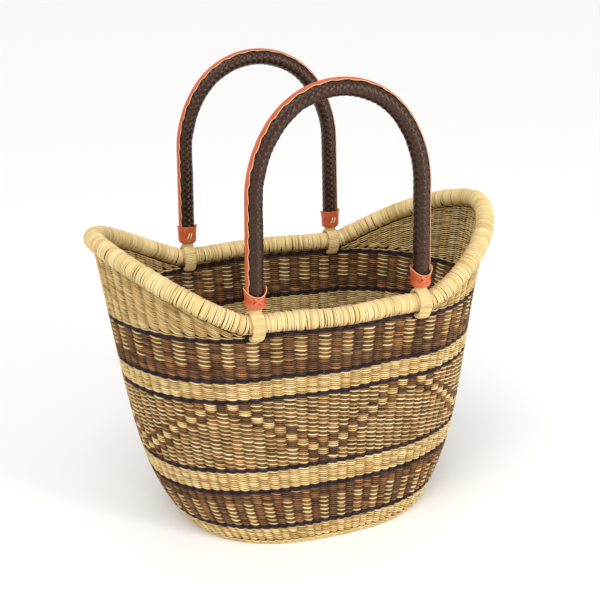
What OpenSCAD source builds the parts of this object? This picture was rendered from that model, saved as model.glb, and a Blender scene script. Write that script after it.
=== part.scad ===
// Woven grass market basket: a round woven foot that flares into a long boat-shaped rim, with two
// arched leather-covered handles that swing on lashings looped around the rim.
// Frame: millimetres, +Z up, X along the rim from tip to tip, the front handle on the -Y side.
// The origin is the middle of the base's underside.

/* [Base and foot] */
// Half length of the wall's middle surface at the floor
base_half_x = 127; // [100:1:150]
// Half depth of the wall's middle surface at the floor
base_half_y = 107; // [85:1:125]
// Thickness of the woven base
base_t = 6; // [4:0.5:9]
// How far the foot swells outwards along X above the floor
foot_swell = 32; // [15:1:40]
// Height over which the foot swells
foot_swell_z = 41; // [25:1:60]
// Squareness of the lower outline: 2 is an ellipse
foot_power = 2.4; // [2:0.1:3]

/* [Wall] */
// Outward flare along X for each millimetre of height
flare_x = 0.15; // [0.05:0.01:0.25]
// Outward flare along Y at the rim between the handles
flare_y = 18; // [5:1:30]
// Thickness of the woven wall
wall_t = 6; // [4:0.5:8]
// Height of one row of weaving
row_h = 2.25; // [2:0.05:2.3]
// Rows in the natural foot band
foot_rows = 6; // [3:1:8]
// Rows in each black line
line_rows = 2; // [1:1:2]
// Rows in the lower dark band
lower_dark_rows = 16; // [8:1:16]
// Rows in the lower natural band
lower_natural_rows = 9; // [4:1:10]
// Rows in the zigzag band
zigzag_rows = 32; // [26:1:32]
// Rows in the upper natural band
upper_natural_rows = 8; // [4:1:8]
// Rows in the upper dark band
upper_dark_rows = 17; // [8:1:17]
// Number of upright stakes
stake_count = 88; // [60:2:110]
// Radius of a stake
stake_r = 1.3; // [0.8:0.1:1.6]

/* [Rim] */
// Height of the rim's middle line between the handles
rim_low_z = 243; // [240:1:270]
// Height of the rim's middle line at the two tips
rim_tip_z = 306; // [275:1:330]
// Outer radius of the wrapped rim
rim_r = 9.7; // [7:0.1:11]
// Radius of the grass bundle inside the rim
rim_core_r = 6.2; // [4:0.1:6.5]

/* [Handles] */
// Half the distance between the two feet of a handle
foot_x = 84; // [70:1:100]
// Height of the arch's middle line above the rim's middle line
arch_h = 211; // [190:1:240]
// Inward lean of the legs in degrees
leg_lean = 1; // [0:0.5:4]
// Radius of the arch's two shoulders
shoulder_r = 110; // [90:1:130]
// Angle of each shoulder's end, measured from the X axis
shoulder_end = 35; // [30:1:40]
// Outer radius of the leather sleeve
sleeve_r = 8; // [7:0.1:9]
// Radius of the grass core inside the sleeve
handle_core_r = 5.8; // [4:0.1:6]
// Thickness of the edging strip
edging_t = 1.1; // [0.6:0.1:2]
// Half the angle that the edging strip covers around the sleeve
edging_half = 34; // [20:1:50]
// Height of a collar's lower edge above the rim's middle line
collar_z = 17; // [16:0.5:22]
// Height of a collar
collar_h = 19; // [14:0.5:24]
// Outer radius of a collar at its flared top
collar_top_r = 11.6; // [11:0.1:13]
// Width of a lashing loop along the rim
loop_w = 12.5; // [9:0.5:13]
// Outer radius of a lashing loop over the rim
loop_r = 14; // [12.5:0.1:15]
// Depth of a lashing loop below the rim's middle line
loop_drop = 16; // [15:0.1:16]

/* [Hidden] */

// Colours
natural = "#d9bd84";
brown = "#5b3b22";
black = "#2b1d25";
leather = "#43291f";
orange = "#c9542f";
straw = "#ddc48d";

// Gaps between pieces
gap = 0.15;
seam = 0.05;
swing_gap = 0.4;

// Heights where one band of rows ends and the next begins
z_foot_line = base_t + foot_rows * row_h;
z_lower_dark = z_foot_line + line_rows * row_h;
z_lower_dark_line = z_lower_dark + lower_dark_rows * row_h;
z_lower_natural = z_lower_dark_line + line_rows * row_h;
z_lower_zigzag_line = z_lower_natural + lower_natural_rows * row_h;
z_zigzag = z_lower_zigzag_line + line_rows * row_h;
z_upper_zigzag_line = z_zigzag + zigzag_rows * row_h;
z_upper_natural = z_upper_zigzag_line + line_rows * row_h;
z_upper_dark_line = z_upper_natural + upper_natural_rows * row_h;
z_upper_dark = z_upper_dark_line + line_rows * row_h;
z_rim_line = z_upper_dark + upper_dark_rows * row_h;
z_wing = z_rim_line + line_rows * row_h;

// Sampling of the curved walls
cols = 60;
rim_sides = 12;
core_sides = 12;
wing_cols = 20;
sleeve_sides = 16;
arch_steps = 24;

// ---- Outline of the wall ----

// Half length and half depth of the wall's middle surface at height z
function half_x(z) = base_half_x + foot_swell * (1 - exp(-z / foot_swell_z)) + flare_x * z;
function half_y(z) = base_half_y + flare_y * pow(z / rim_low_z, 2.2);

// Along X, the rim is straight for seat_half each side of a handle's foot
seat_half = 7.5;
seat_from = (foot_x - seat_half) / half_x(rim_low_z);
seat_to = (foot_x + seat_half) / half_x(rim_low_z);
// Depth of the rim at the seats, as a part of its depth in the middle
seat_depth = 0.928;
pivot_y = seat_depth * half_y(rim_low_z);

// Depth of the boat-shaped rim outline, where c runs from 0 in the middle to 1 at a tip
function boat(c) =
    c < seat_from ? seat_depth + (1 - seat_depth) * (1 + cos(180 * c / seat_from)) / 2 :
    c < seat_to ? seat_depth :
    seat_depth * pow(max(0, 1 - pow((c - seat_to) / (1 - seat_to), 1.7)), 0.6);

// How far the outline has changed from the foot's shape to the boat shape
function ease(t) = t * t * (3 - 2 * t);
function boat_share(z) = ease(min(1, max(0, (z - 50) / (rim_low_z - 50))));

// Along and across parts of the outline at turning angle a, which starts at the right tip
function along(a) = sign(cos(a)) * pow(abs(cos(a)), 2 / foot_power);
function across(a, z) = sign(sin(a)) *
    ((1 - boat_share(z)) * pow(abs(sin(a)), 2 / foot_power) + boat_share(z) * boat(abs(along(a))));

// Point of the wall at turning angle a and height z, moved outwards by out
function wall_point(a, z, out) =
    [(half_x(z) + out) * along(a), (half_y(z) + out) * across(a, z), z];

// Turning angle where the outline passes part c of its half length, on the front or back
function angle_at(c) = acos(pow(c, foot_power / 2));

// Turning angle where a wing and its line end, clear of the lashings
wing_end = angle_at(seat_to) - 1;

// Turning angles at even steps along the outline, from a table of its running length
step_z = 150;
steps = 360;
outline = [for (i = [0:steps]) wall_point(i * 360 / steps, step_z, 0)];
running = [for (i = 0, s = 0; i <= steps;
    s = s + (i < steps ? norm(outline[i + 1] - outline[i]) : 0), i = i + 1)
    [s, i * 360 / steps]];
function even_angle(part) = lookup(part * running[steps][0], running);

// Height of the rim's middle line: level between the feet, rising to the tips
function wing_part(c) = max(0, (c - seat_to) / (1 - seat_to));
function rim_z(c) = rim_low_z + (rim_tip_z - rim_low_z) * pow(wing_part(c), 1.2);
// Height of the wall's upper edge, just below the wrapped rim
function wall_top(c) =
    rim_z(c) - rim_r * (1 + 0.12 * sin(180 * sqrt(min(1, wing_part(c))))) - gap;

// ---- Builders for curved walls ----

// Solid between an outer and an inner grid of points, both [column][level]
module shell(outer, inner, closed) {
    n = len(outer);
    m = len(outer[0]);
    last = closed ? n - 1 : n - 2;
    points = [for (side = [outer, inner]) for (column = side) for (p = column) p];
    function out(i, j) = (i % n) * m + j;
    function in(i, j) = n * m + (i % n) * m + j;
    function quad(p, q, r, s) = [[p, q, r], [p, r, s]];
    walls = [for (i = [0:last]) for (j = [0:m - 2]) each concat(
        quad(out(i, j), out(i, j + 1), out(i + 1, j + 1), out(i + 1, j)),
        quad(in(i, j), in(i + 1, j), in(i + 1, j + 1), in(i, j + 1)))];
    edges = [for (i = [0:last]) each concat(
        quad(out(i, 0), out(i + 1, 0), in(i + 1, 0), in(i, 0)),
        quad(out(i, m - 1), in(i, m - 1), in(i + 1, m - 1), out(i + 1, m - 1)))];
    ends = closed ? [] : [for (j = [0:m - 2]) each concat(
        quad(out(0, j), in(0, j), in(0, j + 1), out(0, j + 1)),
        quad(out(n - 1, j), out(n - 1, j + 1), in(n - 1, j + 1), in(n - 1, j)))];
    polyhedron(points, concat(walls, edges, ends));
}

// Solid along a list of rings of points, looped or with a cap at each end
module rod(rings, looped) {
    n = len(rings);
    k = len(rings[0]);
    last = looped ? n - 1 : n - 2;
    function at(i, s) = (i % n) * k + s % k;
    sides = [for (i = [0:last]) for (s = [0:k - 1]) each [
        [at(i, s), at(i + 1, s), at(i + 1, s + 1)], [at(i, s), at(i + 1, s + 1), at(i, s + 1)]]];
    caps = looped ? [] : [[for (s = [0:k - 1]) s], [for (s = [k - 1:-1:0]) at(n - 1, s)]];
    polyhedron([for (ring = rings) each ring], concat(sides, caps));
}

function wall_column(a, low, high, levels, out) =
    [for (j = [0:levels]) wall_point(a, low + (high - low) * j / levels, out)];

// Full ring of wall between two heights
module band(low, high, levels) {
    angles = [for (i = [0:cols - 1]) even_angle(i / cols)];
    outer = [for (a = angles) wall_column(a, low + seam, high - seam, levels, wall_t / 2)];
    inner = [for (a = angles) wall_column(a, low + seam, high - seam, levels, -wall_t / 2)];
    shell(outer, inner, true);
}

// Part of the wall from one turning angle to another
module wall_arc(from, to, n, low, high) {
    angles = [for (i = [0:n]) from + (to - from) * i / n];
    outer = [for (a = angles) wall_column(a, low + seam, high - seam, 1, wall_t / 2)];
    inner = [for (a = angles) wall_column(a, low + seam, high - seam, 1, -wall_t / 2)];
    shell(outer, inner, false);
}

// ---- Body of the basket ----

module base_disc() {
    color(natural)
        linear_extrude(base_t - seam)
            polygon([for (i = [0:cols - 1])
                let (p = wall_point(even_angle(i / cols), 2, wall_t / 2)) [p[0], p[1]]]);
}

// Upright grass stakes that the rows are twined around
module stakes() {
    levels = 6;
    sides = 3;
    foot_z = base_t + 1;
    color(straw)
        for (k = [0:stake_count - 1]) {
            a = even_angle((k + 0.5) / stake_count);
            c = abs(along(a));
            at_seat = c > seat_from - 0.02 && c < seat_to + 0.02;
            top = at_seat ? z_rim_line - 1 : wall_top(c) - gap;
            rod([for (j = [0:levels])
                let (middle = wall_point(a, foot_z + (top - foot_z) * j / levels, 0))
                [for (s = [0:sides - 1])
                    middle + stake_r * [cos(360 * s / sides), sin(360 * s / sides), 0]]], false);
        }
}

module foot_band() { color(natural) band(base_t, z_foot_line, 2); }
module foot_line() { color(black) band(z_foot_line, z_lower_dark, 1); }
module lower_dark_band() { color(brown) band(z_lower_dark, z_lower_dark_line, 2); }
module lower_dark_line() { color(black) band(z_lower_dark_line, z_lower_natural, 1); }
module lower_natural_band() { color(natural) band(z_lower_natural, z_lower_zigzag_line, 1); }
module lower_zigzag_line() { color(black) band(z_lower_zigzag_line, z_zigzag, 1); }
module zigzag_band() { color("#8a6a42") band(z_zigzag, z_upper_zigzag_line, 3); }
module upper_zigzag_line() { color(black) band(z_upper_zigzag_line, z_upper_natural, 1); }
module upper_natural_band() { color(natural) band(z_upper_natural, z_upper_dark_line, 1); }
module upper_dark_line() { color(black) band(z_upper_dark_line, z_upper_dark, 1); }
module upper_dark_band() { color(brown) band(z_upper_dark, z_rim_line, 2); }

// Black line under the rim, open at the four places where the lashings pass through the wall
module rim_line() {
    a_in = angle_at(seat_from);
    color(black) {
        wall_arc(a_in, 180 - a_in, 14, z_rim_line, z_wing);
        wall_arc(180 - wing_end, 180 + wing_end, 22, z_rim_line, z_wing);
        wall_arc(180 + a_in, 360 - a_in, 14, z_rim_line, z_wing);
        wall_arc(-wing_end, wing_end, 22, z_rim_line, z_wing);
    }
}

// Last natural row between the feet of each handle, which the rim is bound to
module rim_bed() {
    a_in = angle_at(seat_from);
    top = rim_low_z - rim_r - gap;
    color(natural) {
        wall_arc(a_in, 180 - a_in, 14, z_wing, top);
        wall_arc(180 + a_in, 360 - a_in, 14, z_wing, top);
    }
}

// Raised end of the wall, from the front lashing around the tip to the back lashing
module wing(middle) {
    levels = 3;
    low = z_wing + seam;
    angles = [for (i = [0:wing_cols]) middle - wing_end + 2 * wing_end * i / wing_cols];
    outer = [for (a = angles)
        wall_column(a, low, wall_top(abs(along(a))), levels, wall_t / 2)];
    inner = [for (a = angles)
        wall_column(a, low, wall_top(abs(along(a))), levels, -wall_t / 2)];
    shell(outer, inner, false);
}
module left_wing() { color(natural) wing(180); }
module right_wing() { color(natural) wing(0); }

// ---- Rim ----

// Turning angles along the rim: even steps, with both ends of each seat on the list
function quarter_angles() = concat(
    [for (i = [0:7]) angle_at(seat_to) * i / 8],
    [angle_at(seat_to), angle_at(seat_to) + 0.3, angle_at(seat_from) - 0.3],
    [for (i = [0:4]) angle_at(seat_from) + (90 - angle_at(seat_from)) * i / 5]);
rim_angles = let (q = quarter_angles(), n = len(q)) concat(
    q, [90], [for (i = [n - 1:-1:0]) 180 - q[i]],
    [for (i = [1:n - 1]) 180 + q[i]], [270], [for (i = [n - 1:-1:1]) 360 - q[i]]);
rim_path = [for (a = rim_angles)
    let (z = rim_z(abs(along(a)))) [half_x(z) * along(a), half_y(z) * across(a, z), z]];

// Ring of points of radius r around point i of the rim
function rim_ring(i, r, sides) =
    let (n = len(rim_path),
        ahead = rim_path[(i + 1) % n] - rim_path[(i + n - 1) % n],
        t = ahead / norm(ahead),
        side = cross(t, [0, 0, 1]) / norm(cross(t, [0, 0, 1])),
        up = cross(side, t))
    [for (s = [0:sides - 1]) rim_path[i % n] +
        r * (cos(360 * s / sides) * side - sin(360 * s / sides) * up)];

// Grass bundle inside the rim
module rim_core() {
    color(straw)
        rod([for (i = [0:len(rim_path) - 1]) rim_ring(i, rim_core_r, core_sides)], true);
}

// Half of the grass wrapping around the bundle: side is 1 for the back half
module wrap_half(start, side) {
    tip_seam = 0.1;
    half = len(rim_path) / 2;
    function column(s, r) = [for (i = [0:half]) rim_ring(start + i, r, rim_sides)[s] +
        [0, i == 0 || i == half ? side * tip_seam / 2 : 0, 0]];
    outer = [for (s = [0:rim_sides - 1]) column(s, rim_r)];
    inner = [for (s = [0:rim_sides - 1]) column(s, rim_core_r + gap)];
    shell(outer, inner, true);
}

// Grass wrapping around the bundle, in two halves that meet at the tips
module rim_wrap() {
    color(natural) {
        wrap_half(0, 1);
        wrap_half(len(rim_path) / 2, -1);
    }
}

// ---- Handles, drawn around their own hinge line, which is the X axis ----

// The arch: leaning legs, a long shoulder arc on each side and a tighter arc over the top.
// A leg of length l sets the centre of the shoulders and the radius of the top arc.
function shoulder_x(l) = foot_x - l * sin(leg_lean) - shoulder_r * cos(leg_lean);
function shoulder_z(l) = l * cos(leg_lean) - shoulder_r * sin(leg_lean);
function top_r(l) = shoulder_r + shoulder_x(l) / cos(shoulder_end);
function top_z(l) = shoulder_z(l) - (top_r(l) - shoulder_r) * sin(shoulder_end);
function apex(l) = top_z(l) + top_r(l);
// The apex rises evenly with the leg, so two trial legs give the wanted length
leg_l = (arch_h - apex(0)) / (apex(1) - apex(0));

// Stations along the arch: [x, z, angle of the outward normal]
function leg_station(l, side) =
    [side * (foot_x - l * sin(leg_lean)), l * cos(leg_lean), 90 - side * (90 - leg_lean)];
function arc_station(b) =
    let (c = b > 90 ? 180 - b : b,
        side = b > 90 ? -1 : 1,
        over = c > shoulder_end,
        r = over ? top_r(leg_l) : shoulder_r)
    [side * ((over ? 0 : shoulder_x(leg_l)) + r * cos(c)),
        (over ? top_z(leg_l) : shoulder_z(leg_l)) + r * sin(c), b];
function arch(from_l) = concat([leg_station(from_l, 1)],
    [for (i = [0:arch_steps]) arc_station(leg_lean + (180 - 2 * leg_lean) * i / arch_steps)],
    [leg_station(from_l, -1)]);

// Point u outwards and v along Y from a station, and an arc of such points
function off_arch(station, u, v) =
    [station[0] + u * cos(station[2]), v, station[1] + u * sin(station[2])];
function section_arc(station, r, angles) =
    [for (g = angles) off_arch(station, r * cos(g), r * sin(g))];
around = [for (s = [0:sleeve_sides - 1]) 360 * s / sleeve_sides];

// Grass core of a handle
module handle_core() {
    color(straw)
        rod([for (p = arch(collar_z + 5)) section_arc(p, handle_core_r, around)], false);
}

// Leather sleeve of a handle
module sleeve() {
    path = arch(collar_z + 5.5);
    outer = [for (g = around) [for (p = path) section_arc(p, sleeve_r, [g])[0]]];
    inner = [for (g = around) [for (p = path) section_arc(p, handle_core_r + gap, [g])[0]]];
    color(leather) shell(outer, inner, true);
}

// Edging strip along the outside of the arch
module edging() {
    inner_r = sleeve_r + gap;
    spread = [for (i = [-2:2]) edging_half * i / 2];
    color(orange)
        rod([for (p = arch(collar_z + collar_h + 0.5)) concat(
            section_arc(p, inner_r, spread),
            section_arc(p, inner_r + edging_t, [for (i = [4:-1:0]) spread[i]]))], false);
}

// Places a piece on a leg: side is -1 for the left leg and 1 for the right one
module on_leg(side) {
    translate([side * foot_x, 0, 0]) rotate([0, -side * leg_lean, 0]) children();
}

// Leather collar that ties the sleeve's end to the lashing
module collar(side) {
    neck_r = loop_w / 2 + gap;
    bore_r = sleeve_r + gap;
    color(orange) on_leg(side) translate([0, 0, collar_z]) rotate_extrude($fn = 64)
        polygon([[neck_r, 0], [collar_top_r - 2.4, 0], [collar_top_r - 1.2, 1.6],
            [collar_top_r - 1.4, collar_h * 0.7], [collar_top_r, collar_h],
            [collar_top_r - 1, collar_h], [bore_r, collar_h * 0.75], [bore_r, 5],
            [neck_r, 5]]);
}

// Knot of leather lace on the outer face of a collar, and the stitch on its inner face
module tie(side) {
    lace_r = 1.1;
    color(orange) on_leg(side) translate([0, -collar_top_r - 0.4, collar_z + collar_h / 2])
        rotate([90, 0, 0]) rotate_extrude($fn = 48) translate([2.6, 0]) circle(lace_r, $fn = 24);
    color(straw) on_leg(side) translate([0, collar_top_r, collar_z + collar_h / 2])
        rotate([90, 0, 0]) rotate_extrude($fn = 48) translate([2, 0]) circle(0.7, $fn = 24);
}

// Lashing loop: a ring that turns around the rim, with a neck up into the collar
module loop(side) {
    drop_r = 9;
    bore_r = rim_r + swing_gap;
    color(straw) {
        translate([side * foot_x, 0, 0]) rotate([0, 90, 0])
            linear_extrude(loop_w, center = true) difference() {
                union() {
                    circle(loop_r, $fn = 64);
                    translate([loop_drop - drop_r, 0]) circle(drop_r, $fn = 64);
                }
                circle(bore_r, $fn = 64);
            }
        on_leg(side) translate([0, 0, loop_r - 1]) cylinder(h = collar_z + 4.6 - loop_r + 1,
            r = loop_w / 2, $fn = 48);
    }
}

// Puts a handle's piece on the front rim, or turned about on the back rim
module front() { translate([0, -pivot_y, rim_low_z]) children(); }
module back() { translate([0, pivot_y, rim_low_z]) mirror([0, 1, 0]) children(); }

module front_handle_core() { front() handle_core(); }
module front_sleeve() { front() sleeve(); }
module front_edging() { front() edging(); }
module front_left_collar() { front() collar(-1); }
module front_right_collar() { front() collar(1); }
module front_left_tie() { front() tie(-1); }
module front_right_tie() { front() tie(1); }
module front_left_loop() { front() loop(-1); }
module front_right_loop() { front() loop(1); }
module back_handle_core() { back() handle_core(); }
module back_sleeve() { back() sleeve(); }
module back_edging() { back() edging(); }
module back_left_collar() { back() collar(-1); }
module back_right_collar() { back() collar(1); }
module back_left_tie() { back() tie(-1); }
module back_right_tie() { back() tie(1); }
module back_left_loop() { back() loop(-1); }
module back_right_loop() { back() loop(1); }

base_disc();
stakes();
foot_band();
lower_dark_band();
lower_natural_band();
zigzag_band();
upper_natural_band();
upper_dark_band();
left_wing();
right_wing();
rim_bed();
foot_line();
lower_dark_line();
lower_zigzag_line();
upper_zigzag_line();
upper_dark_line();
rim_line();
rim_core();
rim_wrap();
front_handle_core();
front_sleeve();
front_edging();
front_left_collar();
front_right_collar();
front_left_tie();
front_right_tie();
front_left_loop();
front_right_loop();
back_handle_core();
back_sleeve();
back_edging();
back_left_collar();
back_right_collar();
back_left_tie();
back_right_tie();
back_left_loop();
back_right_loop();
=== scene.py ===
"""Looks of the woven market basket: twined grass walls, a grass-wrapped rim and two leather handles."""
import math

import bpy
import numpy as np
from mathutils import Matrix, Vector


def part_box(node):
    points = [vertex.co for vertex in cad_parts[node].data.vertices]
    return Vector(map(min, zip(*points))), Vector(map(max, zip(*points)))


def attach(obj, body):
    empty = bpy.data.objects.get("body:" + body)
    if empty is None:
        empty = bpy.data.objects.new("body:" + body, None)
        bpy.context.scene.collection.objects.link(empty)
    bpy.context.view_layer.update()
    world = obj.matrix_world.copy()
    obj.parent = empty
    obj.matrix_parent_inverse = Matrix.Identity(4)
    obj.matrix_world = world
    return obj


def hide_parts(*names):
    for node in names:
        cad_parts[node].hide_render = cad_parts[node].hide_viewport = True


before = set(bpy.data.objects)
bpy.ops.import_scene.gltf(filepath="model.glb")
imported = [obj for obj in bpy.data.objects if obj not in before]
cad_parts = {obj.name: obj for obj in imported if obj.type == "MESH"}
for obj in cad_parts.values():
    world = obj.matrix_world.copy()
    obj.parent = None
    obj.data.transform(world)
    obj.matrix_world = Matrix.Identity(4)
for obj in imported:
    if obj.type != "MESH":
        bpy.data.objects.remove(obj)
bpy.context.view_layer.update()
RANDOM = np.random.default_rng(12)

# ---- Sizes in metres, as in the CAD part. The bands' heights come from the frame's own boxes. ----

MM = 0.001
STAKES = 88
ROW_H = 2.25 * MM

# The wall's outline at the floor, its swelling above the foot and its flare up to the rim
BASE_HALF_X = 0.127
BASE_HALF_Y = 0.107
FOOT_SWELL = 0.032
FOOT_SWELL_Z = 0.041
FLARE_X = 0.15
FLARE_Y = 0.018
FLARE_POWER = 2.2
# Squareness of the round outline: 2 is an ellipse
FOOT_POWER = 2.4
# Height at which the round outline starts to turn into the boat-shaped one
BOAT_FROM_Z = 0.05
# Shape of the boat's two ends
END_POWER = 1.7
END_ROUND = 0.6
# Height at which the stakes stand at even distances
EVEN_Z = 0.150

# The rim's middle line, and the level seats that the loops turn around
RIM_R = 9.7 * MM
RIM_LOW_Z = 243 * MM
RIM_TIP_Z = 306 * MM
RIM_RISE_POWER = 1.2
SEAT_HALF = 7.5 * MM
SEAT_DEPTH = 0.928

# The handles' arch, sleeve, collars and feet
FOOT_X = 84 * MM
LEG_LEAN = math.radians(1)
SHOULDER_R = 110 * MM
SHOULDER_END = math.radians(35)
ARCH_H = 211 * MM
SLEEVE_R = 8 * MM
COLLAR_Z = 17 * MM
COLLAR_H = 19 * MM


def low(node):
    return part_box(node)[0]


def high(node):
    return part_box(node)[1]


# ---- Outline of the wall: round at the foot, boat-shaped at the rim ----

def half_x(z):
    return BASE_HALF_X + FOOT_SWELL * (1 - np.exp(-z / FOOT_SWELL_Z)) + FLARE_X * z


def half_y(z):
    return BASE_HALF_Y + FLARE_Y * np.power(np.maximum(z, 0) / RIM_LOW_Z, FLARE_POWER)


# The seats' ends as parts of the rim's half length
SEAT_FROM = (FOOT_X - SEAT_HALF) / half_x(RIM_LOW_Z)
SEAT_TO = (FOOT_X + SEAT_HALF) / half_x(RIM_LOW_Z)
PIVOT_Y = SEAT_DEPTH * half_y(RIM_LOW_Z)


def wing_part(c):
    """0 up to the seats and 1 at the tips, for part c of the half length."""
    return np.clip((c - SEAT_TO) / (1 - SEAT_TO), 0, 1)


def boat(c):
    """Depth of the rim's outline at part c of its half length."""
    middle = SEAT_DEPTH + (1 - SEAT_DEPTH) * (1 + np.cos(np.pi * np.minimum(c / SEAT_FROM, 1))) / 2
    end = SEAT_DEPTH * np.power(1 - np.power(wing_part(c), END_POWER), END_ROUND)
    return np.where(c < SEAT_TO, middle, end)


def boat_share(z):
    """How far the outline has turned from round to boat-shaped at height z."""
    t = np.clip((z - BOAT_FROM_Z) / (RIM_LOW_Z - BOAT_FROM_Z), 0, 1)
    return t * t * (3 - 2 * t)


def along(a):
    return np.sign(np.cos(a)) * np.abs(np.cos(a)) ** (2 / FOOT_POWER)


def across(a, z):
    share = boat_share(z)
    foot = np.abs(np.sin(a)) ** (2 / FOOT_POWER)
    return np.sign(np.sin(a)) * ((1 - share) * foot + share * boat(np.abs(along(a))))


def surface(a, z):
    """Middle of the wall at turning angle a and height z."""
    z = np.broadcast_to(z, np.shape(a)).astype(float)
    return np.stack([half_x(z) * along(a), half_y(z) * across(a, z), z], -1)


def rim_z(a):
    """Height of the rim's middle line at turning angle a."""
    part = wing_part(np.abs(along(a)))
    return RIM_LOW_Z + (RIM_TIP_Z - RIM_LOW_Z) * np.power(part, RIM_RISE_POWER)


def running_length(points):
    """Distance of each point from the first one, along the points."""
    return np.concatenate([[0], np.cumsum(np.linalg.norm(np.diff(points, axis=0), axis=1))])


def even_table(height, steps=1440):
    """Running share of the outline's length against the turning angle."""
    a = np.linspace(0, 2 * np.pi, steps + 1)
    run = running_length(surface(a, height))
    return run / run[-1], a


EVEN_SHARE, EVEN_ANGLE = even_table(EVEN_Z)


def stake_angle(t):
    """Turning angle at stake number t, which need not be whole."""
    share = (np.asarray(t, float) + 0.5) / STAKES
    return np.interp(share % 1.0, EVEN_SHARE, EVEN_ANGLE)


def stake_number(a):
    """Stake number, which need not be whole, at turning angle a."""
    return np.interp(a, EVEN_ANGLE, EVEN_SHARE) * STAKES - 0.5


# ---- Mesh builders ----

UP = np.array([0.0, 0.0, 1.0])


def unit(v):
    return v / np.maximum(np.linalg.norm(v, axis=-1, keepdims=True), 1e-12)


def outward(tangent):
    """Level normals that point out of the wall, from tangents that run anticlockwise around it."""
    return unit(np.stack([tangent[:, 1], -tangent[:, 0], np.zeros(len(tangent))], -1))


def tube(points, normals, half_out, half_up, sides, closed):
    """Rings of an oval tube around points. Returns vertices, quads, end caps and grain coordinates,
    which run along the tube in x and across it in y and z."""
    n = len(points)
    if closed:
        tangents = unit(np.roll(points, -1, 0) - np.roll(points, 1, 0))
    else:
        tangents = unit(np.gradient(points, axis=0))
    normals = unit(normals - (normals * tangents).sum(-1, keepdims=True) * tangents)
    ups = np.cross(tangents, normals)
    turn = np.arange(sides) * 2 * np.pi / sides
    out = np.broadcast_to(half_out, n)[:, None] * np.cos(turn)[None, :]
    rise = np.broadcast_to(half_up, n)[:, None] * np.sin(turn)[None, :]
    verts = points[:, None] + out[..., None] * normals[:, None] + rise[..., None] * ups[:, None]
    run = running_length(points)
    grain = np.stack([np.broadcast_to(run[:, None], out.shape), out, rise], -1)
    quads = ring_quads(n, sides, closed)
    caps = [] if closed else end_caps(n, sides)
    return verts.reshape(-1, 3), quads, caps, grain.reshape(-1, 3)


def ring_quads(n, sides, looped):
    """Quads between n rings of points, each ring closed."""
    i = np.arange(n if looped else n - 1)[:, None]
    s = np.arange(sides)[None, :]
    j, u = (i + 1) % n, (s + 1) % sides
    return np.stack([i * sides + s, i * sides + u, j * sides + u, j * sides + s], -1).reshape(-1, 4)


def end_caps(n, sides):
    return [list(range(sides))[::-1], [(n - 1) * sides + k for k in range(sides)]]


class Builder:
    """Collects tubes and surfaces into one mesh object. Each vertex has a tone from 0 to 1, and
    grain coordinates for streaks that follow its strand."""

    GRAIN_SHIFT = 9

    def __init__(self):
        self.verts, self.faces, self.tones, self.grains, self.count = [], [], [], [], 0

    def add(self, verts, quads, caps, tone, grain):
        self.faces += (np.asarray(quads) + self.count).tolist()
        self.faces += [[v + self.count for v in cap] for cap in caps]
        self.verts.append(verts)
        self.tones.append(np.broadcast_to(tone, len(verts)))
        self.grains.append(grain + RANDOM.uniform(0, self.GRAIN_SHIFT, 3))
        self.count += len(verts)

    def strand(self, points, normals, half_out, half_up, sides=6, closed=False, tone=0.5):
        verts, quads, caps, grain = tube(points, normals, half_out, half_up, sides, closed)
        self.add(verts, quads, caps, np.repeat(np.broadcast_to(tone, len(points)), sides), grain)

    def skin(self, rings, looped=False, tone=0.5, capped=False):
        """A surface over closed rings of points, an array [along][around][xyz]."""
        n, k = rings.shape[:2]
        step = np.linalg.norm(np.diff(rings, axis=0), axis=-1).mean(1)
        run = np.concatenate([[0], np.cumsum(step)])[:, None]
        turn = np.arange(k) * 2 * np.pi / k
        r = np.linalg.norm(rings - rings.mean(1, keepdims=True), axis=-1)
        grain = np.stack([np.broadcast_to(run, (n, k)), r * np.cos(turn), r * np.sin(turn)], -1)
        tone = np.broadcast_to(tone, (n, k)).reshape(-1)
        caps = end_caps(n, k) if capped else []
        self.add(rings.reshape(-1, 3), ring_quads(n, k, looped), caps, tone, grain.reshape(-1, 3))

    def piece(self, name, material, body, slot, replaces=()):
        mesh = bpy.data.meshes.new(name)
        mesh.from_pydata(np.concatenate(self.verts).tolist(), [], self.faces)
        tone = mesh.attributes.new("tone", "FLOAT", "POINT")
        tone.data.foreach_set("value", np.concatenate(self.tones).astype(np.float32))
        grain = mesh.attributes.new("grain", "FLOAT_VECTOR", "POINT")
        grain.data.foreach_set("vector", np.concatenate(self.grains).astype(np.float32).ravel())
        mesh.polygons.foreach_set("use_smooth", [True] * len(mesh.polygons))
        mesh.materials.append(material)
        obj = bpy.data.objects.new(name, mesh)
        bpy.context.scene.collection.objects.link(obj)
        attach(obj, body)
        if replaces:
            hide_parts(*replaces)


# ---- Materials ----

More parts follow.
